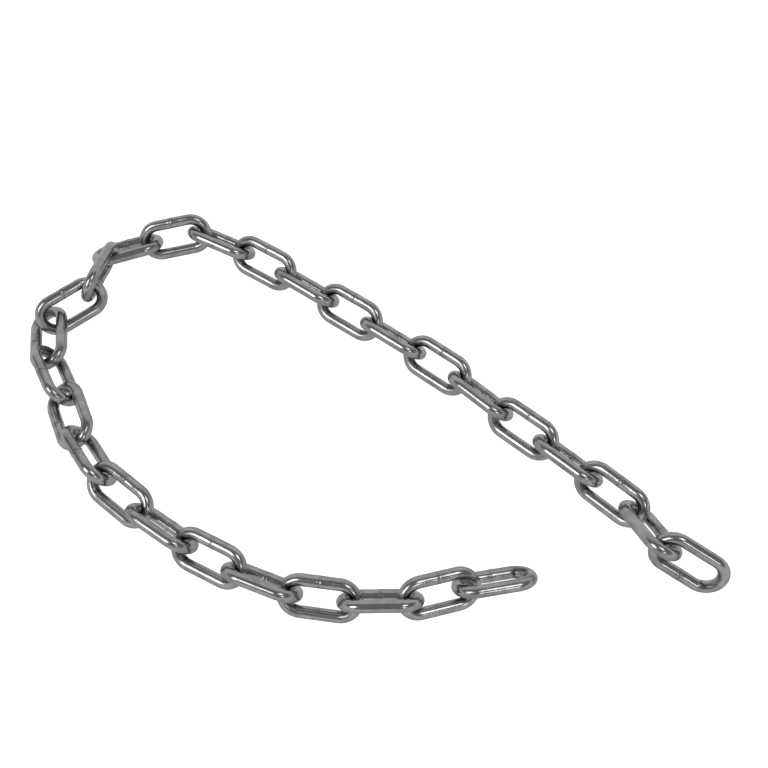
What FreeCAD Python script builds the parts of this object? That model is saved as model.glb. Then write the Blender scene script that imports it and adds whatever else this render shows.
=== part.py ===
import FreeCAD, Part
import math
import os
import Sketcher

# Welded hand chain: 28 equal oval links of round wire, each one passing through the next.
# Millimetres, +Z up. The chain lies on the plane Z = 0, and the origin is under the middle of its box.

LINK_COUNT = 28

DIMENSIONS = [
    # alias, value
    ("wire", 4.0),          # diameter of the round wire
    ("pitch", 19.2),        # inside length of a link
    ("eye_width", 7.2),     # inside width of a link
    ("play", 0.2),          # clear distance between two crowns that pull on each other
    ("weld_length", 2.6),   # length of the butt weld's bead along the leg
    ("weld_swell", 0.2),    # how far the bead stands out of the wire
    ("weld_root", 0.15),    # how far the bead's ends start inside the wire
]

# How each link lies, from link_01 to link_28: heading of its length, seen from above and counted
# anticlockwise from +X, climb of its length over the ground, and lean about its length. A chain on the
# ground leans to the left and to the right in turn, because neighbours cross at about a right angle.
LAY = [
    # heading, climb, lean
    (153, 18, -58),
    (111, -25, 40),
    (139, 1, -55),
    (139, -1, 50),
    (140, -2, -52),
    (137, -2, 50),
    (143, 0, -48),
    (145, 1, 51),
    (146, 1, -47),
    (147, 3, 49),
    (149, 2, -50),
    (156, 5, 44),
    (-171, -7, -57),
    (-164, -4, 31),
    (-102, 11, 72),   # stands nearly on edge, where the chain has a quarter twist
    (-146, -6, -55),
    (-79, 6, 23),
    (-61, 3, -57),
    (-64, 7, 28),
    (-54, 5, -60),
    (-38, -1, 39),
    (-34, 0, -59),
    (-27, 2, 44),
    (-21, -1, -59),
    (-8, 1, 47),
    (0, 3, -57),
    (15, -5, 49),
    (10, -2, -52),
]

# Where the chain isn't pulled tight, a link is pushed into the one before it, by link number.
SLACK = {2: 0.75, 3: 0.75, 4: 1.25, 5: 0.75, 6: 0.25, 13: 0.5, 14: 0.25, 15: 1.25, 16: 0.75, 17: 1.25, 18: 1,
         19: 1.5, 20: 1, 21: 0.5, 22: 0.25, 23: 0.25, 24: 0.25, 25: 0.25, 26: 0.25, 27: 0.5, 28: 1.25}
# How far a link sits to the left of the one before it, inside that link's bow.
SIDE_STEP = {2: 0.75, 3: 0.5, 4: -0.25, 6: -0.5, 12: -0.5, 15: 2.25, 16: 0.5, 17: -1.75, 18: -0.25,
             19: -0.5, 21: -1, 22: -0.5, 23: -0.5, 25: -0.25, 26: 0.25}
# Links that their neighbours hold off the ground.
LIFT = {2: 0.5, 4: 0.5, 9: 0.5, 10: 1, 11: 2, 12: 2.5, 13: 2, 14: 1.5, 15: 1, 19: 1.5, 20: 0.5, 21: 2,
        22: 0.5, 23: 1.5, 24: 0.5, 25: 0.5, 26: 0.5, 27: 0.5}
# Links whose weld is on the left leg. On the others it is on the right leg.
LEFT_WELDS = {1, *range(21, LINK_COUNT + 1)}

X_AXIS = FreeCAD.Vector(1, 0, 0)
Y_AXIS = FreeCAD.Vector(0, 1, 0)
Z_AXIS = FreeCAD.Vector(0, 0, 1)


def make_sheet(doc):
    """Spreadsheet with the driving dimensions, each under its alias."""
    sheet = doc.addObject("Spreadsheet::Sheet", "Dims")
    for row, (alias, value) in enumerate(DIMENSIONS, start=1):
        sheet.set(f"A{row}", alias)
        sheet.set(f"B{row}", str(value))
        sheet.setAlias(f"B{row}", alias)
    doc.recompute()
    return sheet


def new_sketch(body, name, role):
    """Empty sketch on one of the body's own origin planes."""
    sketch = body.newObject("Sketcher::SketchObject", f"{body.Name}_{name}")
    plane = next(item for item in body.Origin.OriginFeatures if item.Role == role)
    sketch.AttachmentSupport = [(plane, "")]
    sketch.MapMode = "FlatFace"
    return sketch


def drive(sketch, name, constraint, expression):
    """Add a size to a sketch under a name, bound to the sheet."""
    index = sketch.addConstraint(constraint)
    sketch.renameConstraint(index, name)
    sketch.setExpression(f"Constraints.{name}", expression)


def oval_path(body, size):
    """Centre line of the wire: two straight legs along X, joined by two half-round bows."""
    bow_radius = (size["eye_width"] + size["wire"]) / 2
    half_leg = (size["pitch"] - size["eye_width"]) / 2
    right = FreeCAD.Vector(half_leg, 0, 0)
    left = FreeCAD.Vector(-half_leg, 0, 0)
    up = FreeCAD.Vector(0, bow_radius, 0)
    quarter = math.pi / 2
    sketch = new_sketch(body, "oval", "XY_Plane")
    sketch.addGeometry(Part.LineSegment(left + up, right + up), False)
    sketch.addGeometry(Part.ArcOfCircle(Part.Circle(right, Z_AXIS, bow_radius), -quarter, quarter), False)
    sketch.addGeometry(Part.LineSegment(right - up, left - up), False)
    sketch.addGeometry(Part.ArcOfCircle(Part.Circle(left, Z_AXIS, bow_radius), quarter, 3 * quarter), False)
    sketch.addConstraint([
        Sketcher.Constraint("Tangent", 0, 2, 1, 2),
        Sketcher.Constraint("Tangent", 1, 1, 2, 1),
        Sketcher.Constraint("Tangent", 2, 2, 3, 2),
        Sketcher.Constraint("Tangent", 3, 1, 0, 1),
        Sketcher.Constraint("Horizontal", 0),
        Sketcher.Constraint("Symmetric", 1, 3, 3, 3, -1, 1),
    ])
    drive(sketch, "leg_length", Sketcher.Constraint("DistanceX", 3, 3, 1, 3, 2 * half_leg),
          "Dims.pitch - Dims.eye_width")
    drive(sketch, "bow_radius", Sketcher.Constraint("Radius", 1, bow_radius),
          "(Dims.eye_width + Dims.wire) / 2")
    return sketch


def wire_section(body, size):
    """Round section of the wire, across the middle of the left leg."""
    bow_radius = (size["eye_width"] + size["wire"]) / 2
    centre = FreeCAD.Vector(bow_radius, 0, 0)
    sketch = new_sketch(body, "section", "YZ_Plane")
    sketch.addGeometry(Part.Circle(centre, Z_AXIS, size["wire"] / 2), False)
    sketch.addConstraint(Sketcher.Constraint("PointOnObject", 0, 3, -1))
    drive(sketch, "wire_radius", Sketcher.Constraint("Radius", 0, size["wire"] / 2), "Dims.wire / 2")
    drive(sketch, "leg_offset", Sketcher.Constraint("DistanceX", -1, 1, 0, 3, bow_radius),
          "(Dims.eye_width + Dims.wire) / 2")
    return sketch


def weld_outline(body, size):
    """Half outline of the weld's bead: the right leg's middle line, two short ends and a shallow arc."""
    leg = (size["eye_width"] + size["wire"]) / 2
    half_length = size["weld_length"] / 2
    rise = size["weld_swell"] + size["weld_root"]
    arc_radius = (half_length ** 2 + rise ** 2) / (2 * rise)
    end_height = size["wire"] / 2 - size["weld_root"]
    half_angle = math.asin(half_length / arc_radius)
    arc_centre = FreeCAD.Vector(0, arc_radius - leg - end_height - rise, 0)
    root_left = FreeCAD.Vector(-half_length, -leg, 0)
    root_right = FreeCAD.Vector(half_length, -leg, 0)
    drop = FreeCAD.Vector(0, -end_height, 0)
    down = -math.pi / 2
    sketch = new_sketch(body, "weld_outline", "XY_Plane")
    sketch.addGeometry(Part.LineSegment(root_left, root_right), False)
    sketch.addGeometry(Part.LineSegment(root_right, root_right + drop), False)
    sketch.addGeometry(Part.ArcOfCircle(Part.Circle(arc_centre, Z_AXIS, arc_radius),
                                        down - half_angle, down + half_angle), False)
    sketch.addGeometry(Part.LineSegment(root_left + drop, root_left), False)
    sketch.addGeometry(Part.LineSegment(root_left * 2 - root_right, root_left), True)
    sketch.addConstraint([
        Sketcher.Constraint("Coincident", 0, 2, 1, 1),
        Sketcher.Constraint("Coincident", 1, 2, 2, 2),
        Sketcher.Constraint("Coincident", 2, 1, 3, 1),
        Sketcher.Constraint("Coincident", 3, 2, 0, 1),
        Sketcher.Constraint("Coincident", 4, 2, 0, 1),
        Sketcher.Constraint("Horizontal", 4),
        Sketcher.Constraint("Equal", 0, 4),
        Sketcher.Constraint("Vertical", 1),
        Sketcher.Constraint("Vertical", 3),
        Sketcher.Constraint("Symmetric", 0, 1, 0, 2, -2),
    ])
    drive(sketch, "bead_length", Sketcher.Constraint("DistanceX", 0, 1, 0, 2, 2 * half_length),
          "Dims.weld_length")
    drive(sketch, "leg_offset", Sketcher.Constraint("DistanceY", 0, 2, -1, 1, leg),
          "(Dims.eye_width + Dims.wire) / 2")
    drive(sketch, "end_height", Sketcher.Constraint("DistanceY", 1, 2, 1, 1, end_height),
          "Dims.wire / 2 - Dims.weld_root")
    drive(sketch, "crown_radius", Sketcher.Constraint("Radius", 2, arc_radius),
          "((Dims.weld_length / 2) ^ 2 + (Dims.weld_swell + Dims.weld_root) ^ 2)"
          " / (2 * (Dims.weld_swell + Dims.weld_root))")
    return sketch


def make_link(doc, name, size):
    """One link: the wire swept round its oval, and the bead of the butt weld on the right leg."""
    body = doc.addObject("PartDesign::Body", name)
    body.Label = name
    path = oval_path(body, size)
    section = wire_section(body, size)
    doc.recompute()
    wire = body.newObject("PartDesign::AdditivePipe", f"{name}_wire")
    wire.Profile = section
    wire.Spine = (path, [f"Edge{number}" for number in range(1, path.GeometryCount + 1)])
    doc.recompute()
    outline = weld_outline(body, size)
    doc.recompute()
    weld = body.newObject("PartDesign::Revolution", f"{name}_weld")
    weld.Profile = outline
    weld.ReferenceAxis = (outline, ["Axis0"])
    weld.Angle = 360
    body.Tip = weld
    return body


def link_rotation(number):
    """Turn of a link from its own frame, length along X and eye across Y, to how it lies."""
    heading, climb, lean = LAY[number - 1]
    if number in LEFT_WELDS:
        lean += 180
    return (FreeCAD.Rotation(Z_AXIS, heading) * FreeCAD.Rotation(Y_AXIS, -climb)
            * FreeCAD.Rotation(X_AXIS, lean))


def reach(rotation, direction, size):
    """How far a link reaches from its middle in a direction: the wire's bows or the weld's bead."""
    bow_radius = (size["eye_width"] + size["wire"]) / 2
    half_leg = (size["pitch"] - size["eye_width"]) / 2
    wire_radius = size["wire"] / 2
    along = rotation.multVec(X_AXIS).dot(direction)
    across = rotation.multVec(Y_AXIS).dot(direction)
    bow_reach = half_leg * abs(along) + bow_radius * math.hypot(along, across) + wire_radius
    bead_reach = -bow_radius * across + wire_radius + size["weld_swell"]
    return max(bow_reach, bead_reach)


def next_middle(middle, rotation, next_rotation, number, size):
    """Plan position of link `number`, whose crown pulls on the crown of the link before it."""
    crown = (size["pitch"] + size["wire"]) / 2
    length = rotation.multVec(X_AXIS)
    next_length = next_rotation.multVec(X_AXIS)
    forward = length + next_length
    forward.z = 0
    forward.normalize()
    left = Z_AXIS.cross(forward)
    overlap = size["wire"] + size["play"] + SLACK.get(number, 0)
    return (middle + length * crown - forward * overlap + left * SIDE_STEP.get(number, 0)
            + next_length * crown)


def lay_chain(size):
    """Placements of all links, with the middle of their common box over the origin."""
    placements = []
    for number in range(1, LINK_COUNT + 1):
        rotation = link_rotation(number)
        middle = FreeCAD.Vector(0, 0, 0)
        if placements:
            last = placements[-1]
            middle = next_middle(last.Base, last.Rotation, rotation, number, size)
        middle.z = reach(rotation, -Z_AXIS, size) + LIFT.get(number, 0)
        placements.append(FreeCAD.Placement(middle, rotation))
    shift = FreeCAD.Vector(0, 0, 0)
    for axis in (X_AXIS, Y_AXIS):
        high = max(place.Base.dot(axis) + reach(place.Rotation, axis, size) for place in placements)
        low = min(place.Base.dot(axis) - reach(place.Rotation, -axis, size) for place in placements)
        shift -= axis * ((high + low) / 2)
    for place in placements:
        place.Base = place.Base + shift
    return placements


def check(doc, links, size):
    """Stop if anything in the document failed, or a link isn't one sound solid of the right volume."""
    for item in doc.Objects:
        if "Invalid" in item.State or "Error" in item.State:
            raise RuntimeError(f"{item.Name} failed: {item.State}")
    bow_radius = (size["eye_width"] + size["wire"]) / 2
    oval_length = 2 * (size["pitch"] - size["eye_width"]) + 2 * math.pi * bow_radius
    wire_volume = math.pi * (size["wire"] / 2) ** 2 * oval_length
    bead_volume = math.pi * ((size["wire"] / 2 + size["weld_swell"]) ** 2 - (size["wire"] / 2) ** 2)
    bead_volume *= size["weld_length"]
    for link in links:
        shape = link.Shape
        if shape.isNull() or not shape.isValid() or len(shape.Solids) != 1:
            raise RuntimeError(f"{link.Label} isn't one valid solid")
        if not wire_volume < shape.Volume < wire_volume + bead_volume:
            raise RuntimeError(f"{link.Label} has the wrong volume: {shape.Volume:.2f}")


def build():
    doc = FreeCAD.newDocument("hand_chain")
    sheet = make_sheet(doc)
    size = {alias: sheet.get(alias) for alias, _ in DIMENSIONS}
    links = [make_link(doc, f"link_{number:02d}", size) for number in range(1, LINK_COUNT + 1)]
    for link, place in zip(links, lay_chain(size)):
        link.Placement = place
    doc.recompute()
    check(doc, links, size)
    os.makedirs("parts", exist_ok=True)
    for link in links:
        link.Shape.exportStep(os.path.join("parts", f"{link.Label}.step"))
    print(f"{len(links)} links, {links[0].Shape.Volume:.1f} cubic mm each")
    return doc, links


build()
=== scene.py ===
import math

import bpy
import numpy as np
from mathutils import Matrix, Vector


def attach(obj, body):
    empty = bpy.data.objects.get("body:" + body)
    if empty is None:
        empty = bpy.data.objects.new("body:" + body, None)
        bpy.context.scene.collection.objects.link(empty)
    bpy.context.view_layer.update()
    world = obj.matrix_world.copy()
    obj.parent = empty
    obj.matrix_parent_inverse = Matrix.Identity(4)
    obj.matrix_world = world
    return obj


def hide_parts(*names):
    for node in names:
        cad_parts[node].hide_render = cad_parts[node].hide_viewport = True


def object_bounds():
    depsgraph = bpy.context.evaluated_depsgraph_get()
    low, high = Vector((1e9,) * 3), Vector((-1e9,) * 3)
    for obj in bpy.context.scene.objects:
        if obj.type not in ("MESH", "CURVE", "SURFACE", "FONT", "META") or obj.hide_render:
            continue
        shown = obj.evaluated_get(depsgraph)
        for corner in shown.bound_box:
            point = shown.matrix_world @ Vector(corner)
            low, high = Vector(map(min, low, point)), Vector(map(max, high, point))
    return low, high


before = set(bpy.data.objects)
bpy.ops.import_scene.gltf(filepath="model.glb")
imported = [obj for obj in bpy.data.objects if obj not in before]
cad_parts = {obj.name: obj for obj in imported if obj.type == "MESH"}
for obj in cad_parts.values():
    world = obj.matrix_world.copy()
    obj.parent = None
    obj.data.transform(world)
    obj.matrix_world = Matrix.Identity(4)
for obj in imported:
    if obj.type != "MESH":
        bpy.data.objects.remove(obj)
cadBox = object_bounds()
mm = 0.001
scene = bpy.context.scene
scene.view_settings.view_transform = "Standard"   # keeps the ground as pale as it is lit


class Value:             # a socket that takes part in Python sums
    def __init__(self, graph, socket):
        self.graph = graph
        self.socket = socket

    def sum(self, operation, *terms):
        return self.graph.add("ShaderNodeMath", {"operation": operation}, dict(enumerate(terms)))

    def __add__(self, other):
        return self.sum("ADD", self, other)

    def __sub__(self, other):
        return self.sum("SUBTRACT", self, other)

    def __rsub__(self, other):
        return self.sum("SUBTRACT", other, self)

    def __mul__(self, other):
        return self.sum("MULTIPLY", self, other)

    def __truediv__(self, other):
        return self.sum("DIVIDE", self, other)

    def __abs__(self):
        return self.sum("ABSOLUTE", self)

    __radd__ = __add__
    __rmul__ = __mul__


class Graph:             # a node tree, for shading or for geometry
    def __init__(self, tree):
        self.tree = tree
        self.nodes = tree.nodes

    def add(self, kind, settings=None, values=None, output=0):
        node = self.nodes.new(kind)
        for name, setting in (settings or {}).items():
            if name == "stops":                       # a ramp's (position, grey) pairs
                self.setStops(node.color_ramp, setting)
            else:
                setattr(node, name, setting)
        for name, value in (values or {}).items():
            if isinstance(value, Value):
                self.tree.links.new(value.socket, node.inputs[name])
            else:
                node.inputs[name].default_value = value
        return Value(self, node.outputs[output]) if len(node.outputs) else node

    def setStops(self, ramp, stops):
        while len(ramp.elements) < len(stops):
            ramp.elements.new(1.0)
        for element, (place, grey) in zip(ramp.elements, stops):
            element.position = place
            element.color = (grey, grey, grey, 1)

    def other(self, value, output):                   # another output of the same node
        return Value(self, value.socket.node.outputs[output])

    def blend(self, factor, first, second):           # colours, or anything with three channels
        return self.add("ShaderNodeMix", {"data_type": "RGBA"}, {0: factor, 6: first, 7: second}, 2)

    def band(self, value, low, high, start=0.0, end=1.0):
        return self.add("ShaderNodeMapRange", {"interpolation_type": "SMOOTHSTEP"},
                        {"Value": value, "From Min": low, "From Max": high, "To Min": start, "To Max": end})


# The chain's link

linkShape = {
    "Wire Radius": 2.0 * mm,
    "Length": 23.2 * mm,         # from bow to bow, along the middle of the wire
    "Width": 11.2 * mm,          # from leg to leg, along the middle of the wire
    "Steps Along": 320,
    "Steps Around": 36,
    "Weld Length": 2.6 * mm,
    "Weld Swell": 0.05 * mm,
    "Seam Depth": 0.06 * mm,     # the notch where the two wire ends met
    "Seam Width": 0.45 * mm,
    "Seam Slant": 0.12,          # how far the notch runs off square
    "Weld Step": 0.06 * mm,      # the two ends don't quite line up
    "Clamp Dent": 0.02 * mm,     # flats that the welding jaws pressed beside the weld
    "Bow Wear": 0.06 * mm,       # flattening inside the bows, where links rub
    "Waviness": 0.006 * mm,
    "Grain": 0.001 * mm,
    "Seed": 0.0,
}

linkNoise = {
    "bowSteps": 40,              # points round each corner of the oval, before it is spaced evenly
    "roughScale": 900.0,         # bead and seam
    "waveScale": 170.0,
    "waveSeed": 7.3,             # keeps the waves apart from the bead's roughness
    "grainScale": 650.0,
    "grainSeed": 3.1,
    "seedStep": 1.7,             # from one link's seed to the next
}

weldMarks = {                    # in half weld lengths from the middle of the leg
    "jawStart": (1.1, 1.6),
    "jawEnd": (3.4, 2.9),
    "stepFade": (3.0, 0.2),
    "dullFade": (2.2, 0.6),
    "seamFade": (1.3, 0.3),      # in seam widths
}


def linkInputs(tree):
    for name, value in linkShape.items():
        kind = "NodeSocketInt" if isinstance(value, int) else "NodeSocketFloat"
        tree.interface.new_socket(name, in_out="INPUT", socket_type=kind).default_value = value
    tree.interface.new_socket("Metal", in_out="INPUT", socket_type="NodeSocketMaterial")
    tree.interface.new_socket("Geometry", in_out="OUTPUT", socket_type="NodeSocketGeometry")


def turnAttributes(graph, curve):                     # cosine and sine of the way round a closed curve
    turn = graph.add("GeometryNodeSplineParameter", output="Factor") * (2 * math.pi)
    capture = graph.nodes.new("GeometryNodeCaptureAttribute")
    capture.capture_items.new("VECTOR", "Turn")
    graph.tree.links.new(curve.socket, capture.inputs[0])
    pair = graph.add("ShaderNodeCombineXYZ", {}, {0: turn.sum("COSINE", turn), 1: turn.sum("SINE", turn)})
    graph.tree.links.new(pair.socket, capture.inputs[1])
    return Value(graph, capture.outputs[0]), Value(graph, capture.outputs[1])


def buildLinkTree():
    tree = bpy.data.node_groups.new("chainLink", "GeometryNodeTree")
    linkInputs(tree)
    graph = Graph(tree)
    group = graph.add("NodeGroupInput")
    size = {name: graph.other(group, name) for name in [*linkShape, "Metal"]}

    # the wire, swept round its oval
    oval = graph.add("GeometryNodeCurvePrimitiveQuadrilateral", {}, {0: size["Length"], 1: size["Width"]})
    oval = graph.add("GeometryNodeFilletCurve", {"mode": "POLY"},
                     {"Curve": oval, "Count": linkNoise["bowSteps"],
                      "Radius": size["Width"] / 2, "Limit Radius": True})
    oval = graph.add("GeometryNodeResampleCurve", {"mode": "COUNT"},
                     {"Curve": oval, "Count": size["Steps Along"]})
    oval, along = turnAttributes(graph, oval)
    section = graph.add("GeometryNodeCurvePrimitiveCircle", {},
                        {"Resolution": size["Steps Around"], "Radius": size["Wire Radius"]})
    section, around = turnAttributes(graph, section)
    wire = graph.add("GeometryNodeCurveToMesh", {}, {"Curve": oval, "Profile Curve": section})

    # where a point is on the link
    place = graph.add("GeometryNodeInputPosition")
    facing = graph.add("GeometryNodeInputNormal")
    split = graph.add("ShaderNodeSeparateXYZ", {}, {0: place})
    splitFacing = graph.add("ShaderNodeSeparateXYZ", {}, {0: facing})
    fromMiddle = abs(split)
    weldSide = graph.band(graph.other(split, 1), 0.5 * mm, 2 * mm)
    legEnd = (size["Length"] - size["Width"]) / 2
    inBow = graph.band(fromMiddle, legEnd, legEnd + 2 * mm)
    inwards = graph.add("ShaderNodeVectorMath", {"operation": "DOT_PRODUCT"},
                        {0: facing, 1: graph.add("ShaderNodeVectorMath", {"operation": "NORMALIZE"},
                                                 {0: place})}, 1)
    bowInside = inBow * graph.band(inwards, 0.2, -0.9)

    # weld bead with its seam, the jaws' dents beside it, and rubbed bows
    rough = graph.add("ShaderNodeTexNoise", {"noise_dimensions": "4D"},
                      {"Vector": place, "W": size["Seed"], "Scale": linkNoise["roughScale"], "Detail": 3.0})
    weldSpan = size["Weld Length"] / 2
    nearWeld = fromMiddle / weldSpan
    bead = weldSide * graph.band(nearWeld, 1.0, 0.35) * size["Weld Swell"] * (0.85 + rough * 0.15)
    seamLine = split + graph.other(split, 2) * size["Seam Slant"] + (rough - 0.5) * size["Seam Width"]
    seam = weldSide * graph.band(abs(seamLine), size["Seam Width"], 0.0)
    seam = seam * size["Seam Depth"] * graph.band(rough, 0.35, 0.6, 0.45, 1.0)
    jawStart, jawFull = weldMarks["jawStart"]
    jawEnd, jawFading = weldMarks["jawEnd"]
    jawPlace = graph.band(fromMiddle, weldSpan * jawStart, weldSpan * jawFull)
    jawPlace = jawPlace * graph.band(fromMiddle, weldSpan * jawEnd, weldSpan * jawFading)
    jawSide = graph.band(abs(graph.other(splitFacing, 2)), 0.82, 1.0)
    jaws = weldSide * jawPlace * jawSide * size["Clamp Dent"]
    wave = graph.add("ShaderNodeTexNoise", {"noise_dimensions": "4D"},
                     {"Vector": place, "W": size["Seed"] + linkNoise["waveSeed"],
                      "Scale": linkNoise["waveScale"], "Detail": 2.0})
    grain = graph.add("ShaderNodeTexNoise", {"noise_dimensions": "4D"},
                      {"Vector": place, "W": size["Seed"] + linkNoise["grainSeed"],
                       "Scale": linkNoise["grainScale"], "Detail": 3.0})
    lowering = (1 - wave) * size["Waviness"] + (1 - grain) * size["Grain"]
    rise = bead - seam - jaws - bowInside * size["Bow Wear"] - lowering
    swell = graph.add("ShaderNodeVectorMath", {"operation": "SCALE"}, {0: facing, "Scale": rise})
    step = weldSide * graph.band(split, -0.1 * mm, 0.1 * mm, -0.5, 0.5)
    step = step * graph.band(nearWeld, *weldMarks["stepFade"])
    step = graph.add("ShaderNodeCombineXYZ", {},
                     {1: step * size["Weld Step"] * -0.5, 2: step * size["Weld Step"]})
    offset = graph.add("ShaderNodeVectorMath", {"operation": "ADD"}, {0: swell, 1: step})
    weldNear = weldSide * graph.band(nearWeld, *weldMarks["dullFade"])
    seamEdge, seamCore = weldMarks["seamFade"]
    seamNear = graph.band(abs(seamLine), size["Seam Width"] * seamEdge, size["Seam Width"] * seamCore)
    seamNear = weldSide * seamNear

    shape = wire
    for name, kind, value in (("alongWire", "FLOAT_VECTOR", along), ("aroundWire", "FLOAT_VECTOR", around),
                              ("bowInside", "FLOAT", bowInside), ("weldNear", "FLOAT", weldNear),
                              ("seamNear", "FLOAT", seamNear)):
        shape = graph.add("GeometryNodeStoreNamedAttribute", {"data_type": kind, "domain": "POINT"},
                          {"Geometry": shape, "Name": name, "Value": value})
    shape = graph.add("GeometryNodeSetPosition", {}, {"Geometry": shape, "Offset": offset})
    shape = graph.add("GeometryNodeSetShadeSmooth", {}, {0: shape, "Shade Smooth": True})
    shape = graph.add("GeometryNodeRealizeInstances", {}, {0: shape})
    shape = graph.add("GeometryNodeSetMaterial", {}, {"Geometry": shape, "Material": size["Metal"]})
    graph.add("NodeGroupOutput", {}, {0: shape})
    return tree


# Bright zinc plate on steel wire

zinc = {
    "clean": (0.43, 0.432, 0.436, 1),
    "dull": (0.29, 0.291, 0.294, 1),
    "rubbed": (0.62, 0.62, 0.62, 1),
    # dark colour for the weld seam and the specks, and also for the painted shade inside the bows
    "sootAndShade": (0.035, 0.034, 0.033, 1),
    "smooth": 0.17,
    "coarse": 0.25,
    "cloudScale": 240.0,
    "streakScale": 5.0,
    "speckScale": 2100.0,
    "patchShare": 0.35,              # of the cloud scale
    "cellShare": 0.55,               # of the speck scale
    "linesAround": 7.0,              # drawing lines: fine round the wire, long along it
    "linesAlong": 1.5,
}

zincBlends = {                       # how strongly each mark covers the clean colour
    "streaks": 0.45,
    "nicks": 0.8,
    # painted shade inside the bows, where the links meet
    "paintedBowShade": 0.88,
    "weld": 0.5,
    "seam": 0.25,
    "specks": 0.6,
}

zincRoughens = {"streaks": 0.1, "paintedBowShade": 0.16, "specks": 0.08, "seam": 0.1}
zincHeights = {"streaks": 0.5, "fine": 0.35, "clouds": 0.6, "specks": 0.7}
zincBump = {"Strength": 0.03, "Distance": 0.05 * mm}


def makeZinc():
    metal = bpy.data.materials.new("brightZinc")
    metal.use_nodes = True
    graph = Graph(metal.node_tree)
    surface = graph.nodes["Principled BSDF"]
    surface.inputs["Metallic"].default_value = 1.0
    spot = graph.add("ShaderNodeTexCoord", output="Object")

    def noise(vector, scale, detail, settings=None, **values):
        return graph.add("ShaderNodeTexNoise", settings,
                         {"Vector": vector, "Scale": scale, "Detail": detail, **values})

    def mark(name, output="Fac"):
        return graph.add("ShaderNodeAttribute", {"attribute_name": name}, {}, output)

    # drawing lines run along the wire: fine across it, long along it
    wayRound = graph.add("ShaderNodeVectorMath", {"operation": "SCALE"},
                         {0: mark("aroundWire", "Vector"), 3: zinc["linesAround"]})
    length = graph.add("ShaderNodeSeparateXYZ", {}, {0: mark("alongWire", "Vector")})
    lines = graph.add("ShaderNodeVectorMath", {"operation": "MULTIPLY_ADD"},
                      {0: graph.add("ShaderNodeCombineXYZ", {}, {2: length}),
                       1: (zinc["linesAlong"],) * 3, 2: wayRound})
    streak = noise(lines, zinc["streakScale"], 5.0, {"noise_dimensions": "4D"},
                   W=graph.other(length, 1) * zinc["linesAlong"])
    cloud = noise(spot, zinc["cloudScale"], 4.0)
    patch = noise(spot, zinc["cloudScale"] * zinc["patchShare"], 2.0)
    fine = noise(spot, zinc["speckScale"], 4.0)
    cell = graph.add("ShaderNodeTexVoronoi", {},
                     {"Vector": spot, "Scale": zinc["speckScale"] * zinc["cellShare"]})
    weld = mark("weldNear")
    speck = graph.band(cell, 0.24, 0.1) * (graph.band(patch, 0.56, 0.7) + weld * 0.5)
    nick = graph.band(fine, 0.68, 0.78) * graph.band(cloud, 0.45, 0.6)
    bow = mark("bowInside")
    seam = mark("seamNear")
    # painted shade: the insides of the bows, where the links meet and shade each other, are darkened in the
    # colour
    paintedBowShade = graph.band(bow, 0.05, 0.5) * graph.band(cloud, 0.3, 0.7, 0.6, 1.0)
    rub = graph.band(bow, 0.8, 1.0) * graph.band(fine, 0.4, 0.6, 0.3, 0.8)

    colour = graph.blend(graph.band(cloud, 0.3, 0.72), zinc["clean"], zinc["dull"])
    colour = graph.blend(graph.band(streak, 0.42, 0.7) * zincBlends["streaks"], colour, zinc["dull"])
    colour = graph.blend(nick * zincBlends["nicks"], colour, zinc["rubbed"])
    # the painted shade goes in here, in the dark soot colour, inside the bows
    colour = graph.blend(paintedBowShade * zincBlends["paintedBowShade"], colour, zinc["sootAndShade"])
    colour = graph.blend(rub, colour, zinc["rubbed"])
    weldDull = weld * graph.band(cloud, 0.35, 0.7) * zincBlends["weld"]
    colour = graph.blend(weldDull, colour, zinc["dull"])
    colour = graph.blend(seam * zincBlends["seam"], colour, zinc["sootAndShade"])
    colour = graph.blend(speck * zincBlends["specks"], colour, zinc["sootAndShade"])
    graph.tree.links.new(colour.socket, surface.inputs["Base Color"])

    roughness = graph.band(cloud, 0.3, 0.75, zinc["smooth"], zinc["coarse"])
    roughness = roughness + (streak - 0.5) * zincRoughens["streaks"] + paintedBowShade * zincRoughens["paintedBowShade"]
    roughness = roughness + speck * zincRoughens["specks"] + seam * zincRoughens["seam"]
    graph.tree.links.new(roughness.socket, surface.inputs["Roughness"])

    height = streak * zincHeights["streaks"] + fine * zincHeights["fine"]
    height = height + cloud * zincHeights["clouds"] - speck * zincHeights["specks"]
    bump = graph.add("ShaderNodeBump", {}, {"Height": height, **zincBump})
    graph.tree.links.new(bump.socket, surface.inputs["Normal"])
    return metal


# Where the CAD links lie, and the links themselves

def linkPlace(node):                                  # length along X, welded leg towards +Y
    mesh = node.data
    corners = np.empty(len(mesh.vertices) * 3)
    mesh.vertices.foreach_get("co", corners)
    corners = corners.reshape(-1, 3)
    mesh.calc_loop_triangles()
    ends = np.empty(len(mesh.loop_triangles) * 3, dtype=np.int32)
    mesh.loop_triangles.foreach_get("vertices", ends)
    triangles = corners[ends.reshape(-1, 3)]
    firstSides = triangles[:, 1] - triangles[:, 0]
    secondSides = triangles[:, 2] - triangles[:, 0]
    areas = np.linalg.norm(np.cross(firstSides, secondSides), axis=1)
    middles = triangles.mean(axis=1)
    centre = (middles * areas[:, None]).sum(axis=0) / areas.sum()
    spread = np.einsum("n,ni,nj->ij", areas, middles - centre, middles - centre)
    axes = np.linalg.eigh(spread)[1]
    length = axes[:, 2]
    across = axes[:, 1]
    reach = (corners - centre) @ np.stack([length, across], axis=1)
    tall = reach[np.abs(reach[:, 0]) < linkShape["Weld Length"] / 2, 1]
    if tall.max() + tall.min() < 0:                   # the bead makes its leg stand out further
        across = -across
    upright = np.cross(length, across)
    basis = np.stack([length, across, upright], axis=1)
    local = (corners - centre) @ basis
    middle = (local.max(axis=0) + local.min(axis=0)) / 2
    middle[1] = local[:, 1].min() + linkShape["Width"] / 2 + linkShape["Wire Radius"]
    place = Matrix(basis.tolist()).to_4x4()
    place.translation = Vector((centre + basis @ middle).tolist())
    return place


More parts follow.
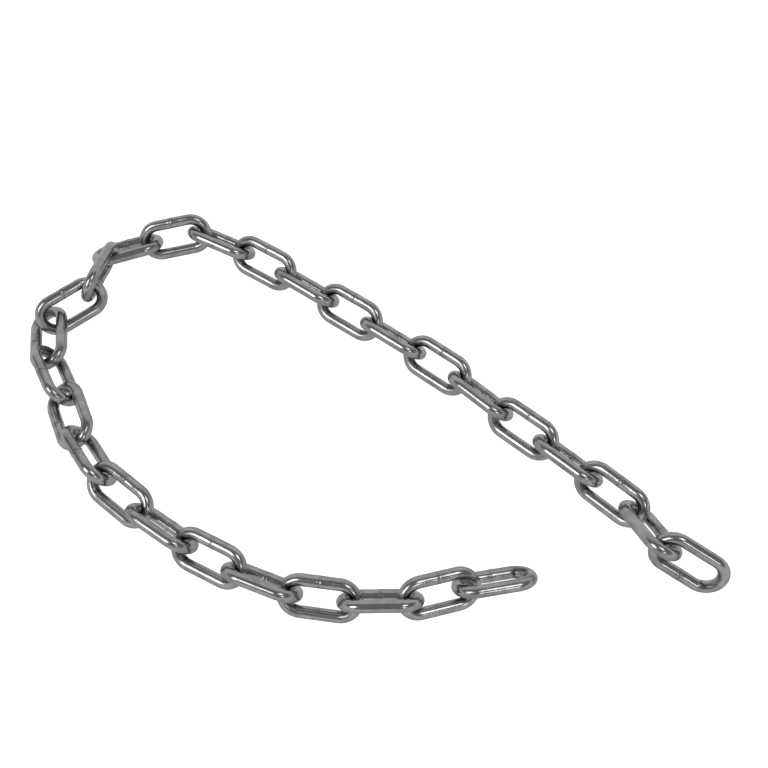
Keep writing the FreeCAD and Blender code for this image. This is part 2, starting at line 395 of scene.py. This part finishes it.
def makeLink(name, tree, metal, seed):
    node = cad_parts[name]
    holder = bpy.data.objects.new("holder", bpy.data.meshes.new("holder"))
    scene.collection.objects.link(holder)
    maker = holder.modifiers.new("link", "NODES")
    maker.node_group = tree
    sockets = {item.name: item.identifier for item in tree.interface.items_tree if item.in_out == "INPUT"}
    maker[sockets["Seed"]] = seed
    maker[sockets["Metal"]] = metal
    graphState = bpy.context.evaluated_depsgraph_get()
    mesh = bpy.data.meshes.new_from_object(holder.evaluated_get(graphState), depsgraph=graphState)
    holder.modifiers.remove(maker)
    bpy.data.objects.remove(holder)
    mesh.name = name + "_steel"
    mesh.transform(linkPlace(node))
    piece = bpy.data.objects.new(name + "_steel", mesh)
    scene.collection.objects.link(piece)
    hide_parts(name)
    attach(piece, name)                              # each link is a body of its own


# Ground, camera and lights

studio = {
    "groundSize": 12.0,
    "groundColour": (0.93, 0.93, 0.93, 1),
    "groundGlow": 0.92,              # the ground glows a little itself, so that shadows stay faint
    "groundFibre": (0.8, 0.8, 0.8, 1),
    "fibreScale": 60.0,
    "fibreShare": 0.06,
    "lens": 44.0,
    "elevation": 60.9,
    "distance": 332.6 * mm,
    "target": (10.5 * mm, 10.6 * mm, 0),
}

air = {
    "greys": [(-1.0, 0.5), (-0.1, 0.76), (0.1, 0.82), (1.0, 0.68)],   # sine of the height, grey
    "ceiling": (0.23, 0.23, 0.23, 1),
    "ceilingStart": (0.25, 0.5),     # sine of the height where the dark ceiling begins and is full
    "backdropEnd": (0.58, 0.32),     # how far to the back the pale backdrop still shows
}

softboxes = [
    {"name": "left", "at": (-1.34, -0.91, 1.78), "width": 0.92, "height": 1.36, "power": 15.5},
    {"name": "right", "at": (0.84, -0.43, 2.2), "width": 0.8, "height": 0.7, "power": 6.6},
    {"name": "front", "at": (0.8, -1.7, 1.5), "width": 0.44, "height": 0.44, "power": 2.8},
]


def makeGround():
    mesh = bpy.data.meshes.new("ground")
    half = studio["groundSize"] / 2
    level = cadBox[0].z
    corners = [(-half, -half, level), (half, -half, level), (half, half, level), (-half, half, level)]
    mesh.from_pydata(corners, [], [(0, 1, 2, 3)])
    ground = bpy.data.objects.new("ground", mesh)
    scene.collection.objects.link(ground)
    paper = bpy.data.materials.new("palePaper")
    paper.use_nodes = True
    graph = Graph(paper.node_tree)
    surface = graph.nodes["Principled BSDF"]
    spot = graph.add("ShaderNodeTexCoord", output="Object")
    fibre = graph.add("ShaderNodeTexNoise", {},
                      {"Vector": spot, "Scale": studio["fibreScale"], "Detail": 4.0})
    shade = graph.blend(fibre * studio["fibreShare"], studio["groundColour"], studio["groundFibre"])
    graph.tree.links.new(shade.socket, surface.inputs["Base Color"])
    surface.inputs["Roughness"].default_value = 0.9
    surface.inputs["Specular IOR Level"].default_value = 0.1
    surface.inputs["Emission Color"].default_value = studio["groundColour"]
    surface.inputs["Emission Strength"].default_value = studio["groundGlow"]
    mesh.materials.append(paper)
    ground.visible_glossy = False                     # the steel mirrors the air's greys instead


def makeCamera():
    camera = bpy.data.objects.new("camera", bpy.data.cameras.new("camera"))
    camera.data.lens = studio["lens"]
    camera.data.clip_start = 0.01
    tilt = math.radians(studio["elevation"])
    back = Vector((0, -math.cos(tilt), math.sin(tilt)))
    camera.location = Vector(studio["target"]) + back * studio["distance"]
    camera.rotation_euler = (math.pi / 2 - tilt, 0, 0)
    scene.collection.objects.link(camera)
    scene.camera = camera


def makeLights():
    world = bpy.data.worlds.new("air")
    world.use_nodes = True
    graph = Graph(world.node_tree)
    background = graph.nodes["Background"]
    direction = graph.add("ShaderNodeTexCoord", output="Generated")
    towards = graph.add("ShaderNodeSeparateXYZ", {}, {0: direction})
    sine = graph.other(towards, 2)
    height = graph.add("ShaderNodeMapRange", {}, {"Value": sine, "From Min": -1.0})
    stops = [((place + 1) / 2, grey) for place, grey in air["greys"]]
    shade = graph.add("ShaderNodeValToRGB", {"stops": stops}, {0: height})
    overhead = graph.band(sine, *air["ceilingStart"])
    overhead = overhead * graph.band(graph.other(towards, 1), *air["backdropEnd"])
    shade = graph.blend(overhead, shade, air["ceiling"])
    graph.tree.links.new(shade.socket, background.inputs["Color"])
    scene.world = world
    for box in softboxes:
        light = bpy.data.lights.new(box["name"], "AREA")
        light.shape = "RECTANGLE"
        light.size = box["width"]
        light.size_y = box["height"]
        light.energy = box["power"]
        lamp = bpy.data.objects.new(box["name"], light)
        lamp.location = box["at"]
        lamp.rotation_euler = (-Vector(box["at"])).to_track_quat("-Z", "Y").to_euler()
        scene.collection.objects.link(lamp)


makeCamera()
makeGround()
makeLights()
print("studio ready")
zincMetal = makeZinc()
linkTree = buildLinkTree()
print("link tree and metal ready")
for count, name in enumerate(sorted(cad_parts)):
    makeLink(name, linkTree, zincMetal, linkNoise["seedStep"] * count)
print(len(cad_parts), "links laid")
